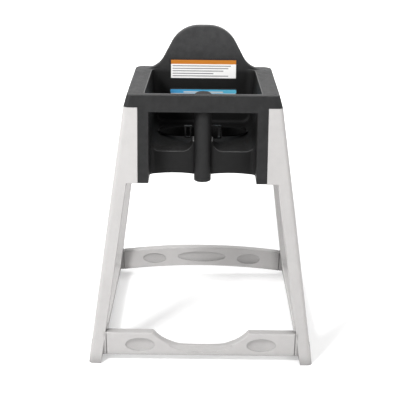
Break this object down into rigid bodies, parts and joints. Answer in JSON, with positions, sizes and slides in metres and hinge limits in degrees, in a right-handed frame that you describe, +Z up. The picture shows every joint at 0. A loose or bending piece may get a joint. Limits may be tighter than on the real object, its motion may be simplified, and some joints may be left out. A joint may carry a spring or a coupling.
{
  "type": "baby high chair",
  "caption": "Moulded high chair with a dark seat, bell-shaped back and crotch post, carried between light A-shaped side frames with scalloped rungs, and a buckled waist belt.",
  "frame": {"origin": "on the floor at the centre of the footprint of the four feet", "axes": "+Z up, the child faces -Y, +X across the chair"},
  "size_m": [0.584, 0.56, 0.808],
  "materials": {
    "seat": "satin, fine texture",
    "frame": "satin, fine texture",
    "label_orange": "printed film",
    "label_blue": "printed film",
    "webbing": "woven",
    "buckle": "satin",
    "zinc": "zinc plated",
    "brass": "turned"
  },
  "bodies": {
    "chair": {"seat_shell": "seat", "crotch_post": "seat", "left_side_frame": "frame", "right_side_frame": "frame", "front_rung": "frame", "rear_rung": "frame", "upper_label": "label_orange", "lower_label": "label_blue", "left_strap": "webbing", "right_strap": "webbing", "buckle_socket": "buckle", "strap_keepers": "buckle", "seat_bolts": "zinc", "seat_washers": "zinc", "seat_nuts": "zinc", "rung_bolts": "zinc", "rung_washers": "zinc", "rung_inserts": "brass", "post_screws": "zinc"},
    "tongue": {"buckle_tongue": "buckle"},
    "upper_prong": {"upper_prong": "buckle"},
    "lower_prong": {"lower_prong": "buckle"},
    "adjuster": {"strap_adjuster": "buckle"}
  },
  "joints": [
    {"name": "tongue_slide", "type": "slide", "parent": "chair", "child": "tongue", "axis": [-1, 0, 0], "range_m": [0, 0.032], "deforming": ["left_strap", "upper_prong", "lower_prong"]},
    {"name": "upper_prong_squeeze", "type": "hinge", "parent": "tongue", "child": "upper_prong", "pos_m": [-0.0006, -0.045, 0.5717], "axis": [0, 1, 0], "range_deg": [0, 8], "stiffness_Nm_per_rad": 0.15},
    {"name": "lower_prong_squeeze", "type": "hinge", "parent": "tongue", "child": "lower_prong", "pos_m": [-0.0006, -0.045, 0.5533], "axis": [0, -1, 0], "range_deg": [0, 8], "stiffness_Nm_per_rad": 0.15},
    {"name": "adjuster_slide", "type": "slide", "parent": "tongue", "child": "adjuster", "axis": [-1, 0, 0], "range_m": [0, 0.006]}
  ]
}
